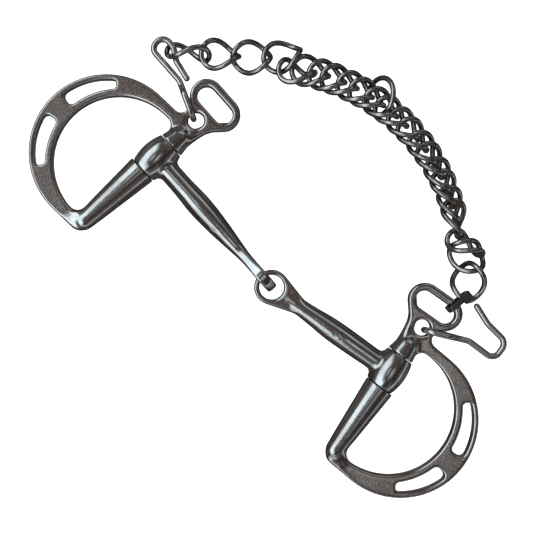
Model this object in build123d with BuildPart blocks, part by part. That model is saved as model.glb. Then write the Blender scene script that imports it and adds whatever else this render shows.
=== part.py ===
from build123d import *
import os
from math import acos, atan2, cos, degrees, hypot, pi, radians, sin

os.makedirs("parts", exist_ok=True)

# A curb bit: a single-jointed mouthpiece between two slotted D cheeks, with a curb chain above.
# Millimetres. The bit lies flat: Z is up, the mouthpiece lies in the plane Z = 0 and the
# headstall loops point to +Y. The origin is the centre of the mouthpiece's joint.

# ---- driving dimensions -------------------------------------------------------------------
ARM_TILT = 6.65  # each arm leans this far toward +Y, degrees
LEFT_REACH = 82.2  # joint to the left hinge pin
RIGHT_REACH = 68.6  # joint to the right hinge pin

BARREL_HALF = 8.7  # half the length of a barrel along its pin
BARREL_END_R = 6.8
BARREL_MID_R = 8.3
ARM_ROOT_FILLET = 2.6
PIN_R = 3.3
PIN_HALF = 15.0  # half the length of a hinge pin
PIN_CLEARANCE = 0.05
END_GAP = 0.2  # between a barrel's end and its cheek

EYE_R = 8.4  # both eyes of the centre joint
EYE_HOLE_R = 5.85
EYE_FILLET = 1.2
LEFT_EYE_WIDTH = 5.5
RIGHT_EYE_HEIGHT = 6.2

PLATE = 5.0  # thickness of the flat parts of a cheek
RIM_FILLET = 1.2
RING_OUT = (-17.6, -16.2)  # centre of the D's outer edge, measured from the middle of the pin
RING_OUT_R = 37.1
RING_IN = (-10.2, -15.1)  # centre of the D's opening
RING_IN_R = 31.3
SLOT_OUT_R = 34.4  # edge of a rein slot next to the outer rim
SLOT_IN_R = 35.1  # edge of a rein slot next to the inner bar
SLOT_SIGHT = (-14.3, -15.7)  # the slots' ends point here
HOOK_HOLE = (-0.8, 25.5)
HOOK_HOLE_R = 3.8
HOOK_HOLE_FILLET = 1.5
LOOP_CENTRE = (-0.3, 37.0)
LOOP_LENGTH = 20.8
LOOP_WIDTH = 8.7

HOOK_WIRE_R = 1.5
HOOK_EYE_R = 5.0  # swing axis to the middle of the wire
HOOK_AXIS = (-7.1, 27.05)  # where the hook swings on the cheek
HOOK_HEADING = 158.8  # the way the hook leaves the cheek, degrees

LINK_WIRE_R = 1.3
LINK_A = 9.0  # half length of a chain link
LINK_B = 7.4  # half width of a chain link
LINK_TWIST = -0.85  # twist of a curb link from its middle to its end, radians
CHAIN_CENTRE = (-10.5, 6.4)  # the double links hang along a circle about this point
CHAIN_R = 93.4
CHAIN_START = 120.2  # direction of the first pair, degrees
CHAIN_PITCH = 14.8  # from one pair of links to the next
PAIR_SPACING = 6.5  # between the two links of a pair
CHAIN_FIRST_ROLL = -20  # roll of the first and the last double link, degrees
CHAIN_LAST_ROLL = -50
DOUBLE_LINKS = 16
LONG_LINK_A = 10.4  # half length of the link on the left hook
FLY_LINK_R = 8.9


def polar(centre, radius, angle):
    """The point at this radius and angle (degrees) about a centre."""
    return (centre[0] + radius * cos(radians(angle)), centre[1] + radius * sin(radians(angle)))


def tangent(centre_1, radius_1, centre_2, radius_2, side):
    """Angle, at the first circle, where a straight line touching both circles leaves it.

    A negative second radius makes the line cross between the circles.
    """
    along = (centre_2[0] - centre_1[0], centre_2[1] - centre_1[1])
    lean = acos((radius_1 - radius_2) / hypot(*along))
    return degrees(atan2(along[1], along[0]) + side * lean)


def side_frame(reach, side):
    """Frame at the middle of a hinge pin, leaning with its arm."""
    centre = polar((0, 0), side * reach, side * ARM_TILT)
    return Location((*centre, 0), (0, 0, side * ARM_TILT))


LEFT = side_frame(LEFT_REACH, -1)
RIGHT = side_frame(RIGHT_REACH, 1)

# ---- mouthpiece ---------------------------------------------------------------------------
# Each half is drawn with its barrel about Y at the origin and its arm along +X.


def eye(centre, thickness, neck_r, plane):
    """A flat ring that tapers back to a neck, rounded all over."""
    with BuildPart() as block:
        with BuildSketch(plane.offset(-thickness / 2)):
            with Locations((centre, 0)):
                Circle(EYE_R)
            with Locations((centre - 16, 0)):
                Circle(neck_r)
            make_hull()
            with Locations((centre, 0)):
                Circle(EYE_HOLE_R, mode=Mode.SUBTRACT)
        extrude(amount=thickness)
        flats = block.faces().sort_by(Axis((0, 0, 0), plane.z_dir))
        fillet(flats[0].edges() + flats[-1].edges(), EYE_FILLET)
    return block.part


def cannon(arm_profile, ring):
    """One half of the mouthpiece: bulged barrel, swelling arm, eye and pin bore."""
    with BuildPart() as half:
        with BuildSketch(Plane.XY):
            with BuildLine():
                Line((0, -BARREL_HALF), (-BARREL_END_R, -BARREL_HALF))
                ThreePointArc(
                    (-BARREL_END_R, -BARREL_HALF), (-BARREL_MID_R, 0), (-BARREL_END_R, BARREL_HALF)
                )
                Polyline((-BARREL_END_R, BARREL_HALF), (0, BARREL_HALF), (0, -BARREL_HALF))
            make_face()
        revolve(axis=Axis.Y)
        with BuildSketch(Plane.XY):
            with BuildLine():
                side = Spline(*arm_profile)
                Polyline(side @ 1, (arm_profile[-1][0], 0), (arm_profile[0][0], 0), side @ 0)
            make_face()
        revolve(axis=Axis.X)
        seat = [
            edge
            for edge in half.edges()
            if 3 < edge.bounding_box().min.X and edge.bounding_box().max.X < 9
        ]
        fillet(seat, ARM_ROOT_FILLET)
        add(ring)
        Cylinder(
            PIN_R + PIN_CLEARANCE, 3 * BARREL_HALF, rotation=(90, 0, 0), mode=Mode.SUBTRACT
        )
    return half.part


LEFT_ARM = [
    (2, 5.2), (12, 5.2), (19, 5.25), (28.6, 5.75), (38, 5.5),
    (47.6, 4.65), (57, 3.7), (62, 3.15), (67.5, 2.6),
]
RIGHT_ARM = [(2, 5.2), (12, 5.2), (24, 5.45), (36, 5.3), (47.6, 4.45), (54, 4.1), (61, 2.95)]

left_eye = eye(LEFT_REACH - (EYE_R + EYE_HOLE_R) / 2, LEFT_EYE_WIDTH, 3.2, Plane.XZ)
right_eye = eye(RIGHT_REACH, RIGHT_EYE_HEIGHT, 3.9, Plane.XY)
left_half = cannon(LEFT_ARM, left_eye)
right_half = cannon(RIGHT_ARM, right_eye)

# ---- cheek --------------------------------------------------------------------------------
# Drawn for the left side: the pin is about Y, +X points to the mouth and +Y to the loop.
OPENING_TOP = (-10.2, 11.9)  # centres and radii of the small arcs of the outline
OPENING_TOP_R = 4.3
OPENING_FOOT_R = 5.7
OPENING_FOOT = polar(RING_IN, RING_IN_R - OPENING_FOOT_R, 268.9)
FOOT = (-2.3, -46.9)
FOOT_R = 5.5
NOTCH = (-11.1, 25.2)
NOTCH_R = 3.6
LOBE = (-6.2, 37.2)
LOBE_R = 8.15
SHOULDER = (5.5, 37.15)
SHOULDER_R = 8.2
NECK = (17.75, 20.34)
NECK_R = 12.0
STEM_OFFSET = -0.5
STEM_TOP = -BARREL_HALF - END_GAP
STEM_END = -50.2
STEM_R = 4.15  # at the lower end


def rein_slot(first, last, radii):
    """A slot between the outer rim and the inner bar, from one sight line to another."""
    with BuildSketch() as slot:
        with Locations(RING_OUT):
            Circle(SLOT_OUT_R)
        with Locations(RING_IN):
            Circle(SLOT_IN_R, mode=Mode.SUBTRACT)
        with BuildLine():
            Polyline(
                SLOT_SIGHT,
                polar(SLOT_SIGHT, 60, first),
                polar(SLOT_SIGHT, 60, last),
                SLOT_SIGHT,
            )
        make_face(mode=Mode.INTERSECT)
        corners = slot.vertices().sort_by_distance(polar(SLOT_SIGHT, 36, first))
        fillet(corners[:2], radii[0])
        corners = slot.vertices().sort_by_distance(polar(SLOT_SIGHT, 36, last))
        fillet(corners[:2], radii[1])
    return slot.sketch


def cheek_outline():
    """The edge of the flat plate: the D, the neck and the headstall loop in one line."""
    foot_turn = tangent(FOOT, FOOT_R, RING_OUT, RING_OUT_R, 1) - 360
    top_turn = tangent(RING_OUT, RING_OUT_R, NOTCH, -NOTCH_R, 1)
    lobe_turn = tangent(NOTCH, NOTCH_R, LOBE, -LOBE_R, -1)
    neck_turn = tangent(SHOULDER, SHOULDER_R, NECK, -NECK_R, 1)
    with BuildLine() as outline:
        CenterArc(OPENING_TOP, OPENING_TOP_R, 0, 90)
        CenterArc(RING_IN, RING_IN_R, 90, 178.9)
        stem_side = CenterArc(OPENING_FOOT, OPENING_FOOT_R, 268.9, 91.1)
        foot = CenterArc(FOOT, FOOT_R, 0, foot_turn)
        Polyline(stem_side @ 1, (-3.2, -37.5), (1.5, -37.5), foot @ 0)
        ring = CenterArc(RING_OUT, RING_OUT_R, foot_turn, top_turn - 360 - foot_turn)
        Line(foot @ 1, ring @ 0)
        notch = CenterArc(NOTCH, NOTCH_R, top_turn - 180, lobe_turn - top_turn + 180)
        Line(ring @ 1, notch @ 0)
        lobe = CenterArc(LOBE, LOBE_R, lobe_turn + 180, -90 - lobe_turn)
        Line(notch @ 1, lobe @ 0)
        shoulder = CenterArc(SHOULDER, SHOULDER_R, 90, neck_turn - 90)
        Line(lobe @ 1, shoulder @ 0)
        neck = CenterArc(NECK, NECK_R, neck_turn + 180, -neck_turn)
        Line(shoulder @ 1, neck @ 0)
        Polyline(neck @ 1, (4.5, 16), (4.5, 10.5), (-4.5, 10.5), polar(OPENING_TOP, OPENING_TOP_R, 0))
    return outline.line


upper_slot = rein_slot(177.6, 135.3, (2.4, 1.7))
lower_slot = rein_slot(195.2, 234.5, (2.4, 1.7))

with BuildPart() as cheek:
    with BuildSketch(Plane.XY.offset(-PLATE / 2)):
        with BuildLine():
            add(cheek_outline())
        make_face()
        add(upper_slot, mode=Mode.SUBTRACT)
        add(lower_slot, mode=Mode.SUBTRACT)
        with Locations(LOOP_CENTRE):
            SlotOverall(LOOP_LENGTH, LOOP_WIDTH, mode=Mode.SUBTRACT)
    extrude(amount=PLATE)
    flats = cheek.faces().sort_by(Axis.Z)
    fillet(flats[0].edges() + flats[-1].edges(), RIM_FILLET)
    # the stem below the barrel, a round taper with a rounded end
    with BuildSketch(Plane.XY):
        with Locations((STEM_OFFSET, 0)):
            with BuildLine():
                Polyline((0, STEM_END), (0, STEM_TOP), (BARREL_END_R, STEM_TOP), (STEM_R, STEM_END + STEM_R))
                RadiusArc((STEM_R, STEM_END + STEM_R), (0, STEM_END), STEM_R)
            make_face()
    revolve(axis=Axis((STEM_OFFSET, 0, 0), (0, 1, 0)))
    # the collar above the barrel, closing down to the plate
    with BuildSketch(Plane.XY):
        with BuildLine():
            Polyline((0, 19.8), (0, BARREL_HALF + END_GAP), (6.8, BARREL_HALF + END_GAP), (5.9, 13.3))
            Spline((5.9, 13.3), (5.4, 15.8), (4.1, 18.2), (2.0, 19.8), tangents=[(-0.9, 4.4), (-2.5, 1.2)])
            Line((2.0, 19.8), (0, 19.8))
        make_face()
    revolve(axis=Axis.Y)
    # the hole for the curb hook and the bore for the pin
    with Locations((*HOOK_HOLE, 0)):
        Cylinder(HOOK_HOLE_R, 2 * PLATE, mode=Mode.SUBTRACT)
    hole_rims = cheek.edges().filter_by(GeomType.CIRCLE)
    hole_rims = [edge for edge in hole_rims if abs(edge.radius - HOOK_HOLE_R) < 0.01]
    fillet(hole_rims, HOOK_HOLE_FILLET)
    Cylinder(PIN_R, 2 * PIN_HALF, rotation=(90, 0, 0), mode=Mode.SUBTRACT)

with BuildPart() as pin:
    Cylinder(PIN_R, 2 * PIN_HALF, rotation=(90, 0, 0))

# ---- curb hooks ---------------------------------------------------------------------------
# Drawn in the cheek's frame: corner points of the bent wire and the radius at each bend.
hook_plane = Plane(
    origin=(*HOOK_AXIS, 0),
    x_dir=(cos(radians(HOOK_HEADING)), sin(radians(HOOK_HEADING)), 0),
    z_dir=(sin(radians(HOOK_HEADING)), -cos(radians(HOOK_HEADING)), 0),
)
EYE_PATH = [
    (11.4, -3.3), (7.2, -HOOK_EYE_R), (-HOOK_EYE_R, -HOOK_EYE_R), (-HOOK_EYE_R, HOOK_EYE_R),
    (7, HOOK_EYE_R), (11.2, 0), (13, 0),
]
EYE_BENDS = [6, 0.99 * HOOK_EYE_R, 0.99 * HOOK_EYE_R, 4, 3.5]
LEG_START = polar(HOOK_AXIS, 13, HOOK_HEADING)
LEFT_LEG = [LEG_START, (-20.6, 32.3), (-41.4, 32.3), (-41.4, 41), (-34.2, 40.6), (-28.3, 37.2), (-19, 35.6)]
LEFT_BENDS = [6, 4, 4, 4, 6]
RIGHT_LEG = [LEG_START, (-22.9, 33.2), (-37.8, 32.8), (-38, 42.9), (-25.5, 45), (-16.5, 48.8)]
RIGHT_BENDS = [6, 4, 4.5, 10]


def curb_hook(leg, bends):
    """A bent wire: its eye stands upright in the cheek's hole, its leg lies in the plane."""
    with BuildLine(hook_plane) as upright:
        FilletPolyline(*EYE_PATH, radius=EYE_BENDS)
    with BuildLine(Plane.XY) as flat:
        FilletPolyline(*leg, radius=bends)
    with BuildPart() as hook:
        with BuildLine() as path:
            add(upright.line)
            add(flat.line)
        with BuildSketch(Plane(origin=path.line @ 0, z_dir=path.line % 0)):
            Circle(HOOK_WIRE_R)
        sweep(path=path.line)
        with Locations(path.line @ 0, path.line @ 1):
            Sphere(HOOK_WIRE_R)
    return hook.part


left_hook = curb_hook(LEFT_LEG, LEFT_BENDS)
right_hook = curb_hook(RIGHT_LEG, RIGHT_BENDS)

# ---- cable tie ----------------------------------------------------------------------------
# Drawn in the cheek's frame: a band around the loop's top bar and a ratchet head on it.
TIE_FROM = (-6.2, 39.6)  # where the band passes down through the loop
TIE_TO = (-9.3, 51.3)  # where it passes down through the end ring
TIE_MIDDLE = 0.8
TIE_HALF_HEIGHT = 4.0
TIE_WIDTH = 2.6
TIE_THICK = 1.1
TIE_HEAD = (4.6, 4.4, 3.0)

tie_heading = degrees(atan2(TIE_TO[1] - TIE_FROM[1], TIE_TO[0] - TIE_FROM[0]))
tie_length = hypot(TIE_TO[0] - TIE_FROM[0], TIE_TO[1] - TIE_FROM[1])
tie_plane = Plane(
    origin=((TIE_FROM[0] + TIE_TO[0]) / 2, (TIE_FROM[1] + TIE_TO[1]) / 2, TIE_MIDDLE),
    x_dir=(cos(radians(tie_heading)), sin(radians(tie_heading)), 0),
    z_dir=(sin(radians(tie_heading)), -cos(radians(tie_heading)), 0),
)
with BuildPart() as tie:
    with BuildSketch(tie_plane.offset(-TIE_WIDTH / 2)):
        RectangleRounded(tie_length + TIE_THICK, 2 * TIE_HALF_HEIGHT + TIE_THICK, 2.6)
        RectangleRounded(
            tie_length - TIE_THICK, 2 * TIE_HALF_HEIGHT - TIE_THICK, 1.5, mode=Mode.SUBTRACT
        )
    extrude(amount=TIE_WIDTH)
    with Locations(tie_plane * Pos(3.6, TIE_HALF_HEIGHT + TIE_HEAD[2] / 2, 0)):
        Box(TIE_HEAD[0], TIE_HEAD[2], TIE_HEAD[1])

# ---- curb chain ---------------------------------------------------------------------------


def ring(half_length, half_width, twist):
    """A wire ring; the twist carries its sides out of its plane toward the ends."""
    turns = [2 * pi * step / 20 for step in range(20)]
    points = [
        (
            half_length * cos(t),
            half_width * sin(t) * cos(twist * cos(t)),
            half_width * sin(t) * sin(twist * cos(t)),
        )
        for t in turns
    ]
    with BuildLine():
        centreline = Spline(*points, periodic=True)
    with BuildPart() as link:
        for start in (0, 0.5):
            with BuildLine() as half:
                add(centreline.trim(start, start + 0.5))
            with BuildSketch(Plane(origin=half.line @ 0, z_dir=half.line % 0)):
                Circle(LINK_WIRE_R)
            sweep(path=half.line, is_frenet=True)
    return link.part


def pose(x, y, z, heading, roll, pitch):
    """Where a ring lies and how it is turned, degrees."""
    return Pos(x, y, z) * Rot(0, 0, heading) * Rot(0, pitch, 0) * Rot(roll, 0, 0)


def double_link_pose(number):
    """Rings 2 to 16 follow the chain's circle in close pairs and roll slowly along it."""
    pair = (number - 1) // 2
    side = -1 if number % 2 else 1
    angle = CHAIN_START - degrees((pair * CHAIN_PITCH + side * PAIR_SPACING / 2) / CHAIN_R)
    roll = CHAIN_FIRST_ROLL + (CHAIN_LAST_ROLL - CHAIN_FIRST_ROLL) * (number - 1) / 15
    return pose(*polar(CHAIN_CENTRE, CHAIN_R, angle), 0, angle - 90, roll, 0)


curb_link = ring(LINK_A, LINK_B, LINK_TWIST)
long_link = ring(LONG_LINK_A, LINK_B, LINK_TWIST)
round_link = ring(FLY_LINK_R, FLY_LINK_R, 0)

# the single rings, each as it hangs
LOOSE_LINKS = {
    "end_link_left_1": (long_link, pose(-104.33, 56.83, -0.55, 32.7, -75.6, -7.9)),
    "end_link_left_2": (curb_link, pose(-92.0, 66.0, 0.3, 37.7, -23.3, 4.2)),
    "end_link_left_3": (curb_link, pose(-80.2, 75.2, -0.6, 42.4, -1.5, 0.1)),
    "end_link_left_4": (curb_link, pose(-69.6, 85.3, 0, 59, -15.8, -6.2)),
    "double_link_01": (curb_link, pose(-59.4, 84.1, 0.9, 38.7, -47.7, 16.5)),
    "fly_link": (round_link, pose(-22.2, 102.6, -2.5, 132, -54.5, 3.3)),
    "end_link_right_3": (curb_link, pose(54.8, 76, 2.4, 11, -59, -6.1)),
    "end_link_right_2": (curb_link, pose(59.3, 73.5, 0.1, 11.2, 5, 7.3)),
    "end_link_right_1": (curb_link, pose(67.9, 64.2, 0.8, -50.5, 16.4, -2.2)),
}

# ---- assembly -----------------------------------------------------------------------------


def install(name, shape, location):
    """Move a piece from its own frame to its place and write it."""
    with BuildPart() as piece:
        with Locations(location):
            add(shape)
    piece.part.label = name
    export_step(piece.part, f"parts/{name}.step")


def mirrored(shape):
    """The right-hand version of a left-hand piece."""
    with BuildPart() as other_hand:
        mirror(shape, about=Plane.YZ)
    return other_hand.part


install("cannon_left", left_half, LEFT)
install("cheek_left", cheek.part, LEFT)
install("hinge_pin_left", pin.part, LEFT)
install("curb_hook_left", left_hook, LEFT)

install("cannon_right", mirrored(right_half), RIGHT)
install("cheek_right", mirrored(cheek.part), RIGHT)
install("hinge_pin_right", mirrored(pin.part), RIGHT)
install("curb_hook_right", mirrored(right_hook), RIGHT)
install("cable_tie", mirrored(tie.part), RIGHT)

for number in range(2, DOUBLE_LINKS + 1):
    install(f"double_link_{number:02d}", curb_link, double_link_pose(number))
for name, (link, location) in LOOSE_LINKS.items():
    install(name, link, location)
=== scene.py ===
import math

import bmesh
import bpy
import numpy as np
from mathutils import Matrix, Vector


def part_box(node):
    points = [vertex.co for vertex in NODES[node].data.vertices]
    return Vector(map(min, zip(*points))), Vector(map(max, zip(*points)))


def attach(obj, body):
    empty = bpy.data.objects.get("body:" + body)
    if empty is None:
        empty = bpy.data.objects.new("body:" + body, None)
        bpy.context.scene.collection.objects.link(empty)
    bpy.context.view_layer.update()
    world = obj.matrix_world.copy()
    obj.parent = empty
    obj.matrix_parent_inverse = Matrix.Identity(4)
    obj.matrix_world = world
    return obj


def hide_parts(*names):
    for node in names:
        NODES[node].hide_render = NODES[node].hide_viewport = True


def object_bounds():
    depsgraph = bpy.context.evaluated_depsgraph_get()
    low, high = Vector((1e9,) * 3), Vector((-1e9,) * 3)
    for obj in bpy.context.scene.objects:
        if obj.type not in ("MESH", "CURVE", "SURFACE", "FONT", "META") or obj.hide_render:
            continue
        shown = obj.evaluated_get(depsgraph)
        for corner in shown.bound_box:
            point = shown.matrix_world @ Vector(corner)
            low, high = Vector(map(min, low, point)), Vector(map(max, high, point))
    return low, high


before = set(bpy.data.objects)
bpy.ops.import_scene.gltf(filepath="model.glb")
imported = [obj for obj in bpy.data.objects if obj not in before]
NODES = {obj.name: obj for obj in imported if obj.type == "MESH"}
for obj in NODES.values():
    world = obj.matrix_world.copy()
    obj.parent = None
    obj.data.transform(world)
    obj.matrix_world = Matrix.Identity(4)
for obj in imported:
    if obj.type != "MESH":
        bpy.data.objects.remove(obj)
CAD_LOW, CAD_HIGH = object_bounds()

MM = 0.001
PICTURE_TURN = math.radians(41.85)  # the bit is turned this far in the picture
RIGHT = Vector((math.cos(PICTURE_TURN), math.sin(PICTURE_TURN), 0))
UP = Vector((-math.sin(PICTURE_TURN), math.cos(PICTURE_TURN), 0))
AIM = Vector((-8.4 * MM, 5.7 * MM, 0))
CAMERA_HEIGHT = 0.350
FRAME_WIDTH = 0.2537  # width of the picture in the plane of the bit
SENSOR_WIDTH = 36.0

PIN_LEAN = math.radians(6.65)  # the hinge pins lean toward one another at the loop end
ARM_REACH = {"left": 82.2, "right": 68.6}  # from the mouthpiece's centre to each hinge pin, mm
WIRE_RADIUS = 1.3 * MM  # of the chain's rings
FACE_HEIGHT = 2.7 * MM  # the ground faces of the cheeks are no further from the middle plane

LINKS = sorted(name for name in NODES if "link" in name)
HOOKS = ["curb_hook_left", "curb_hook_right"]
PINS = ["hinge_pin_left", "hinge_pin_right"]


# ---- node helpers -------------------------------------------------------------------------


class Graph:
    """A short way to write a node tree."""

    def __init__(self, tree):
        self.tree = tree
        self.tree.nodes.clear()

    def node(self, kind, links=None, **settings):
        """A node of this kind; links maps an input's name or number to a value or a socket."""
        made = self.tree.nodes.new(kind)
        for name, value in settings.items():
            setattr(made, name, value)
        for name, value in (links or {}).items():
            socket = made.inputs[name]
            if isinstance(value, bpy.types.NodeSocket):
                self.tree.links.new(value, socket)
            else:
                socket.default_value = value
        return made

    def math(self, operation, a, b=0.0):
        """One arithmetic step."""
        return self.node("ShaderNodeMath", {0: a, 1: b}, operation=operation).outputs[0]

    def dot(self, a, b):
        """Dot product of two vectors."""
        return self.node("ShaderNodeVectorMath", {0: a, 1: b}, operation="DOT_PRODUCT").outputs[1]

    def ramp(self, value, low, high, to_low=0.0, to_high=1.0):
        """Value taken smoothly from one range to another."""
        return self.node(
            "ShaderNodeMapRange",
            {0: value, 1: low, 2: high, 3: to_low, 4: to_high},
            interpolation_type="SMOOTHSTEP",
        ).outputs[0]

    def mix(self, share, a, b):
        """Colour a where share is 0 and b where it is 1."""
        made = self.node("ShaderNodeMix", data_type="RGBA")
        for name, value in (("Factor_Float", share), ("A_Color", a), ("B_Color", b)):
            socket = next(s for s in made.inputs if s.identifier == name)
            if isinstance(value, bpy.types.NodeSocket):
                self.tree.links.new(value, socket)
            else:
                socket.default_value = value
        return next(s for s in made.outputs if s.identifier == "Result_Color")

    def noise(self, position, scale, detail=2.0, stretch=(1, 1, 1), turn=(0, 0, 0)):
        """Noise of this many waves per metre, stretched along the axes."""
        mapped = self.node(
            "ShaderNodeMapping", {"Vector": position, "Scale": stretch, "Rotation": turn}
        ).outputs[0]
        return self.node(
            "ShaderNodeTexNoise", {"Vector": mapped, "Scale": scale, "Detail": detail}
        ).outputs[0]

    def bump(self, height, depth, strength):
        """Normal of a surface raised by height times depth (metres)."""
        links = {"Strength": strength, "Distance": depth, "Height": height}
        return self.node("ShaderNodeBump", links).outputs[0]


def new_material(name):
    """An empty node material and its graph."""
    material = bpy.data.materials.new(name)
    material.use_nodes = True
    return material, Graph(material.node_tree)


def rgb(red, green, blue):
    return (red, green, blue, 1.0)


# ---- materials ----------------------------------------------------------------------------


def steel(name, bright, dull, rough, grain=0.0, flat_face=False, weld=False):
    """Polished stainless steel: polishing lines, smears, pits, worn edges and painted shade in
    corners.
    """
    material, g = new_material(name)
    place = g.node("ShaderNodeTexCoord").outputs["Object"]
    normal = g.node("ShaderNodeNewGeometry").outputs["Normal"]

    smear = g.ramp(g.noise(place, 55, 4), 0.38, 0.68)
    blotch = g.ramp(g.noise(place, 230, 3), 0.42, 0.62)
    grit = g.noise(place, 2600, 2)
    lines = g.noise(place, 90, 3, stretch=(1, 34, 34), turn=(0.2, 0.1, 0.55))
    cross = g.noise(place, 80, 3, stretch=(40, 1, 40), turn=(0.1, 0.3, -0.4))
    pits = g.ramp(g.noise(place, 900, 1), 0.70, 0.78)

    colour = g.mix(g.math("MULTIPLY", smear, 0.55), bright, dull)
    colour = g.mix(g.math("MULTIPLY", blotch, 0.22), colour, dull)
    colour = g.mix(g.math("MULTIPLY", pits, 0.5), colour, rgb(0.10, 0.08, 0.07))
    roughness = g.math("ADD", rough, g.math("MULTIPLY", smear, 0.07))
    roughness = g.math("ADD", roughness, g.math("MULTIPLY", lines, 0.07))
    height = g.math("ADD", lines, g.math("MULTIPLY", cross, 0.6))
    height = g.math("ADD", height, g.math("MULTIPLY", grit, 0.12 + grain))

    if flat_face:
        # the ground faces are duller than the rounded metal and show the grain of the casting; the
        # brown tone laid on these level faces is a painted reflection of a dark brown ceiling
        level = g.ramp(g.math("ABSOLUTE", g.dot(normal, (0, 0, 1))), 0.955, 0.995)
        height_of = g.node("ShaderNodeSeparateXYZ", {0: place}).outputs[2]
        thin = g.math("LESS_THAN", g.math("ABSOLUTE", height_of), FACE_HEIGHT)
        face = g.math("MULTIPLY", level, thin)
        # the grain is the casting's own; the brown it is mixed with is painted reflection
        grains = g.ramp(g.noise(place, 1500, 4), 0.35, 0.68)
        brown_grain_and_painted_reflection = g.mix(grains, rgb(0.20, 0.15, 0.125), rgb(0.50, 0.41, 0.37))
        colour = g.mix(g.math("MULTIPLY", face, 0.8), colour, brown_grain_and_painted_reflection)
        roughness = g.math("ADD", roughness, g.math("MULTIPLY", face, 0.03))
        height = g.math("ADD", height, g.math("MULTIPLY", g.math("MULTIPLY", face, grains), 0.8))

    if weld:
        spot = g.node(
            "ShaderNodeAttribute", attribute_type="OBJECT", attribute_name="weld"
        ).outputs["Vector"]
        far = g.node("ShaderNodeVectorMath", {0: place, 1: spot}, operation="DISTANCE").outputs[1]
        seam = g.ramp(far, 1.0 * MM, 2.4 * MM, 1.0, 0.0)
        colour = g.mix(g.math("MULTIPLY", seam, 0.75), colour, rgb(0.20, 0.15, 0.12))
        roughness = g.math("ADD", roughness, g.math("MULTIPLY", seam, 0.2))
        lumps = g.math("MULTIPLY", seam, g.noise(place, 1100, 2))
        height = g.math("ADD", height, g.math("MULTIPLY", lumps, 3.0))

    # painted shade: the colour is darkened where ambient occlusion finds corners and gaps between
    # parts
    corner = g.node("ShaderNodeAmbientOcclusion", {"Distance": 2.2 * MM}, samples=6).outputs["AO"]
    painted_corner_shade = g.ramp(corner, 0.25, 0.8, 0.85, 0.0)
    colour = g.mix(painted_corner_shade, colour, rgb(0.045, 0.035, 0.03))
    roughness = g.math("ADD", roughness, g.math("MULTIPLY", painted_corner_shade, 0.25))

    rounded = g.node("ShaderNodeBevel", {"Radius": 0.5 * MM}, samples=4).outputs[0]
    edge = g.ramp(g.dot(rounded, normal), 0.90, 0.995, 1.0, 0.0)
    colour = g.mix(g.math("MULTIPLY", edge, 0.4), colour, rgb(0.80, 0.79, 0.78))

    shader = g.node(
        "ShaderNodeBsdfPrincipled",
        {
            "Base Color": colour,
            "Metallic": 1.0,
            "Roughness": roughness,
            "Normal": g.bump(height, 0.035 * MM, 0.28),
        },
    )
    g.node("ShaderNodeOutputMaterial", {0: shader.outputs[0]})
    return material


def nylon():
    """Glossy black nylon with a moulded grain and scuffed edges."""
    material, g = new_material("black_nylon_moulded")
    place = g.node("ShaderNodeTexCoord").outputs["Object"]
    normal = g.node("ShaderNodeNewGeometry").outputs["Normal"]
    grain = g.noise(place, 1800, 3)
    scuff = g.ramp(g.noise(place, 500, 3), 0.5, 0.7)
    rounded = g.node("ShaderNodeBevel", {"Radius": 0.3 * MM}, samples=4).outputs[0]
    edge = g.ramp(g.dot(rounded, normal), 0.88, 0.99, 1.0, 0.0)
    colour = g.mix(g.math("MULTIPLY", scuff, 0.4), rgb(0.012, 0.012, 0.013), rgb(0.03, 0.03, 0.032))
    colour = g.mix(g.math("MULTIPLY", edge, 0.35), colour, rgb(0.09, 0.09, 0.095))
    shader = g.node(
        "ShaderNodeBsdfPrincipled",
        {
            "Base Color": colour,
            "Roughness": g.math("ADD", 0.27, g.math("MULTIPLY", scuff, 0.2)),
            "Normal": g.bump(grain, 0.05 * MM, 0.4),
        },
    )
    g.node("ShaderNodeOutputMaterial", {0: shader.outputs[0]})
    return material


def paint(material, names):
    """Gives these CAD nodes this material."""
    for name in names:
        slots = NODES[name].data.materials
        slots.clear()
        slots.append(material)


def mark_weld(name):
    """Stores where a ring's weld is: the middle of one of its long sides."""
    points = np.array([vertex.co for vertex in NODES[name].data.vertices])
    middle = points.mean(0)
    axes = np.linalg.eigh(np.cov((points - middle).T))[1]
    across = axes[:, 1]
    sideways = (points - middle) @ across
    NODES[name]["weld"] = [float(x) for x in middle + across * (sideways.max() - WIRE_RADIUS)]


# ---- castings -----------------------------------------------------------------------------


def casting(node, voxel, passes, spots, fillers=()):
    """A softened copy of a CAD node, as cast and polished metal looks.

    Every edge is rounded by a few smoothing passes; spots are (point, reach, passes) where
    two forms run into one another and are blended further. Fillers are tapered round ridges,
    lists of (point, radius), cast in one with the piece.
    """
    source = NODES[node]
    form = bmesh.new()
    form.from_mesh(source.data)
    for filler in fillers:
        add_ridge(form, filler)
    mesh = bpy.data.meshes.new(node + "_casting")
    form.to_mesh(mesh)
    form.free()
    piece = bpy.data.objects.new(node + "_casting", mesh)
    bpy.context.scene.collection.objects.link(piece)
    remesh = piece.modifiers.new("skin", "REMESH")
    remesh.mode = "VOXEL"
    remesh.voxel_size = voxel
    apply_modifiers(piece)
    points = np.empty(len(piece.data.vertices) * 3)
    piece.data.vertices.foreach_get("co", points)
    points = points.reshape(-1, 3)
    smooth_pass(piece, "edges", None, passes)
    for number, (spot, reach, more) in enumerate(spots):
        far = np.linalg.norm(points - np.array(spot), axis=1)
        weights = np.clip(1.6 * (1 - far / reach), 0, 1)
        group = piece.vertex_groups.new(name=f"blend_{number}")
        for index in np.nonzero(weights)[0]:
            group.add([int(index)], float(weights[index]), "REPLACE")
        smooth_pass(piece, f"blend_{number}", group.name, more)
    apply_modifiers(piece)
    piece.vertex_groups.clear()
    for face in piece.data.polygons:
        face.use_smooth = True
    return piece


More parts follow.
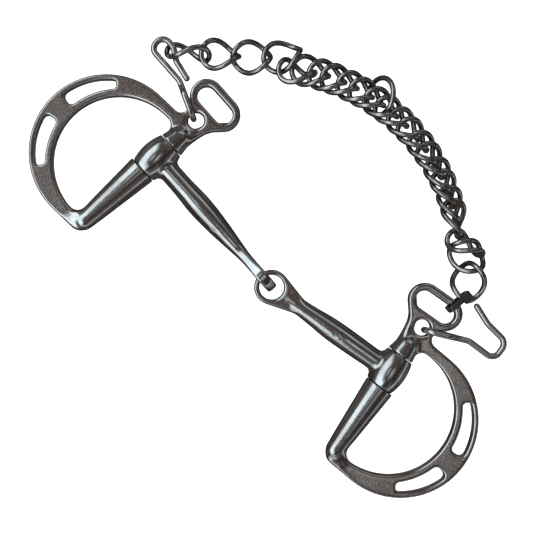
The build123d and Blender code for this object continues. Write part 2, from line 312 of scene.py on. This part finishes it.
def add_ridge(form, stations):
    """Adds overlapping balls along a line of (point, radius) stations, as close as beads."""
    for (start, start_r), (end, end_r) in zip(stations, stations[1:]):
        steps = max(2, int((end - start).length / (0.5 * MM)))
        for step in range(steps + 1):
            share = step / steps
            ball = bmesh.ops.create_icosphere(
                form, subdivisions=3, radius=start_r + (end_r - start_r) * share
            )
            bmesh.ops.translate(form, verts=ball["verts"], vec=start.lerp(end, share))


def smooth_pass(piece, name, group, passes):
    """Adds a smoothing modifier, over the whole piece or over a vertex group."""
    modifier = piece.modifiers.new(name, "SMOOTH")
    modifier.factor = 0.5
    modifier.iterations = passes
    if group:
        modifier.vertex_group = group


def apply_modifiers(piece):
    """Replaces the mesh by what its modifiers make of it."""
    depsgraph = bpy.context.evaluated_depsgraph_get()
    made = bpy.data.meshes.new_from_object(piece.evaluated_get(depsgraph))
    piece.modifiers.clear()
    piece.data = made


def side_point(pin, side, across, along):
    """A point near a cheek: across toward the mouth and along the pin toward the loop, mm."""
    low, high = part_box(pin)
    centre = (low + high) / 2
    inward = Vector((-side * math.cos(PIN_LEAN), -math.sin(PIN_LEAN), 0))
    upward = Vector((-side * math.sin(PIN_LEAN), math.cos(PIN_LEAN), 0))
    return centre + (inward * across + upward * along) * MM


BRIGHT = rgb(0.60, 0.59, 0.585)
DULL = rgb(0.40, 0.365, 0.34)
CAST_STEEL = steel("cast_steel_polished", BRIGHT, DULL, 0.13, flat_face=True)
FORGED_STEEL = steel("forged_steel_polished", BRIGHT, DULL, 0.12)
paint(steel("hook_wire_polished", BRIGHT, DULL, 0.15), HOOKS)
# painted shade: the chain's steel gets darker colours than the cheeks' to stand for the shade among
# its close rings
CHAIN_SHADED_BRIGHT = rgb(0.47, 0.46, 0.45)
CHAIN_SHADED_DULL = rgb(0.25, 0.225, 0.21)
paint(steel("chain_wire_polished_painted_shade", CHAIN_SHADED_BRIGHT, CHAIN_SHADED_DULL, 0.15, grain=0.1, weld=True), LINKS)
# the pins are coloured near black: grease on them, and painted shade of the hinge gaps where they
# show
paint(steel("pin_grease_and_painted_shade", rgb(0.10, 0.09, 0.085), rgb(0.05, 0.045, 0.04), 0.45), PINS)
paint(nylon(), ["cable_tie"])
for link in LINKS:
    mark_weld(link)

SIDES = (("left", -1), ("right", 1))
for hand, side in SIDES:
    pin = f"hinge_pin_{hand}"
    # where collar, foot, shoulder and headstall loop run into the stem and the D
    blends = [
        (side_point(pin, side, 1, 18), 11 * MM, 60),
        (side_point(pin, side, -3, -47), 11 * MM, 150),
        (side_point(pin, side, -8, 12), 6 * MM, 30),
        (side_point(pin, side, 0, 37), 17 * MM, 24),
    ]
    shoulder = [
        (side_point(pin, side, 1.2, 12), 4.6 * MM),
        (side_point(pin, side, 2.6, 17), 3.4 * MM),
        (side_point(pin, side, 3.9, 21.5), 2.6 * MM),
        (side_point(pin, side, 5.0, 25.5), 2.3 * MM),
        (side_point(pin, side, 6.6, 29), 2.3 * MM),
        (side_point(pin, side, 8.8, 31.6), 2.3 * MM),
        (side_point(pin, side, 11.2, 34.8), 2.2 * MM),
    ]
    foot = [
        (side_point(pin, side, -0.9, -38), 3.9 * MM),
        (side_point(pin, side, -2.6, -46), 3.7 * MM),
        (side_point(pin, side, -8, -49.6), 2.8 * MM),
    ]
    cheek = casting(f"cheek_{hand}", 0.35 * MM, 11, blends, (shoulder, foot))
    cheek.data.materials.append(CAST_STEEL)
    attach(cheek, f"cheek_{hand}")
    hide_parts(f"cheek_{hand}")

    reach = ARM_REACH[hand]
    # the arm's swelling, its neck, its eye and its root at the barrel
    blends = [
        (side_point(pin, side, reach - 22, 0), 13 * MM, 160),
        (side_point(pin, side, reach - 14, 0), 9 * MM, 90),
        (side_point(pin, side, reach - 3, 0), 12 * MM, 40),
        (side_point(pin, side, 7, 0), 9 * MM, 60),
    ]
    cannon = casting(f"cannon_{hand}", 0.3 * MM, 6, blends)
    cannon.data.materials.append(FORGED_STEEL)
    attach(cannon, f"cannon_{hand}")
    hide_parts(f"cannon_{hand}")


# ---- floor, surroundings and lights -------------------------------------------------------

# toward, half width, lower edge, upper edge (degrees) and brightness of each window
WINDOWS = [
    (178, 66, 26, 62, 1.0),
    (164, 36, 74.5, 81, 0.62),
    (-36, 34, 74.5, 81, 0.7),
    (-62, 20, 68, 73, 0.42),
    (-48, 42, 6, 17, 0.35),
    (62, 26, 26, 44, 0.30),
    (-112, 22, 18, 36, 0.35),
]
SOFT_SIDES = 7  # how far a window's brightness fades out at its sides, degrees
SOFT_ENDS = 3  # and at its lower and upper edge
FLOOR_DROP = 1.25 * CAD_HIGH.x  # clears an arm turned down, but not a chain hung beyond it
FLOOR_REACH = 3.0

def lay_floor():
    """A pale floor some way below the bit. The steel doesn't mirror it."""
    mesh = bpy.data.meshes.new("floor")
    reach = FLOOR_REACH
    corners = [(-reach, -reach, 0), (reach, -reach, 0), (reach, reach, 0), (-reach, reach, 0)]
    mesh.from_pydata(corners, [], [(0, 1, 2, 3)])
    floor = bpy.data.objects.new("floor", mesh)
    floor.location.z = CAD_LOW.z - FLOOR_DROP
    bpy.context.scene.collection.objects.link(floor)
    material, g = new_material("pale_floor")
    shader = g.node(
        "ShaderNodeBsdfPrincipled",
        {
            "Base Color": rgb(0.9, 0.9, 0.9),
            "Roughness": 0.9,
            "Emission Color": rgb(1, 1, 1),
            "Emission Strength": 0.7,
        },
    )
    g.node("ShaderNodeOutputMaterial", {0: shader.outputs[0]})
    mesh.materials.append(material)
    floor.visible_glossy = False


def cosine(degrees):
    return math.cos(math.radians(degrees))


def sine(degrees):
    return math.sin(math.radians(degrees))


def window(g, direction, toward, spread, low, high):
    """Share of a window in the room: where it is in the picture (degrees, 0 to the right and
    90 up), its half width, and how far it reaches above the horizon (degrees)."""
    angle = math.radians(toward)
    aim = RIGHT * math.cos(angle) + UP * math.sin(angle)
    height = g.node("ShaderNodeSeparateXYZ", {0: direction}).outputs[2]
    rest = g.math("SUBTRACT", 1.0, g.math("MULTIPLY", height, height))
    level = g.math("SQRT", g.math("MAXIMUM", rest, 1e-4))
    facing = g.math("DIVIDE", g.dot(direction, aim), level)
    soft = SOFT_SIDES
    wide = g.ramp(facing, cosine(spread + soft), cosine(spread - soft))
    soft = SOFT_ENDS
    bottom = g.ramp(height, sine(low - soft), sine(low + soft))
    top = g.ramp(height, sine(high - soft), sine(high + soft), 1.0, 0.0)
    return g.math("MULTIPLY", g.math("MULTIPLY", wide, bottom), top)


def surround():
    """A dim warm room with windows for the steel to mirror, seen as plain pale by the camera."""
    world = bpy.data.worlds.new("room")
    bpy.context.scene.world = world
    world.use_nodes = True
    g = Graph(world.node_tree)
    direction = g.node("ShaderNodeTexCoord").outputs["Generated"]
    clutter = g.ramp(g.noise(direction, 2.3, 3), 0.40, 0.62)
    room = g.mix(clutter, rgb(0.035, 0.030, 0.028), rgb(0.15, 0.13, 0.118))
    overhead = g.ramp(g.dot(direction, (0, 0, 1)), 0.84, 0.94)
    beams = g.ramp(g.noise(direction, 9, 3, stretch=(1, 3, 1), turn=(0, 0, 0.5)), 0.42, 0.62)
    ceiling = g.mix(beams, rgb(0.070, 0.050, 0.042), rgb(0.150, 0.116, 0.100))
    room = g.mix(overhead, room, ceiling)
    panes = g.ramp(g.noise(direction, 6, 2, stretch=(3, 3, 1), turn=(0, 0, -0.3)), 0.36, 0.64)
    day = g.mix(panes, rgb(0.75, 0.98, 1.12), rgb(2.0, 2.2, 2.3))
    for toward, spread, low, high, share in WINDOWS:
        there = g.math("MULTIPLY", window(g, direction, toward, spread, low, high), share)
        room = g.mix(there, room, day)
    camera_ray = g.node("ShaderNodeLightPath").outputs["Is Camera Ray"]
    seen = g.mix(camera_ray, room, rgb(0.93, 0.93, 0.93))
    background = g.node("ShaderNodeBackground", {"Color": seen, "Strength": 1.0})
    g.node("ShaderNodeOutputWorld", {0: background.outputs[0]})


def ceiling_light():
    """One broad soft light for the floor, too plain to be mirrored in the steel."""
    data = bpy.data.lights.new("ceiling_light", "AREA")
    data.shape = "DISK"
    data.size = 1.6
    data.energy = 12.0
    lamp = bpy.data.objects.new("ceiling_light", data)
    lamp.location = AIM + Vector((0, 0, 1.1))
    lamp.visible_glossy = False
    bpy.context.scene.collection.objects.link(lamp)


lay_floor()
surround()
ceiling_light()


# ---- camera -------------------------------------------------------------------------------


def place_camera():
    """A camera straight above the bit, turned as in the picture."""
    data = bpy.data.cameras.new("camera")
    data.sensor_width = SENSOR_WIDTH
    data.lens = SENSOR_WIDTH * CAMERA_HEIGHT / FRAME_WIDTH
    data.clip_start = 0.01
    camera = bpy.data.objects.new("camera", data)
    camera.location = AIM + Vector((0, 0, CAMERA_HEIGHT))
    camera.rotation_euler = (0, 0, PICTURE_TURN)
    bpy.context.scene.collection.objects.link(camera)
    bpy.context.scene.camera = camera


place_camera()
bpy.context.scene.view_settings.view_transform = "Standard"
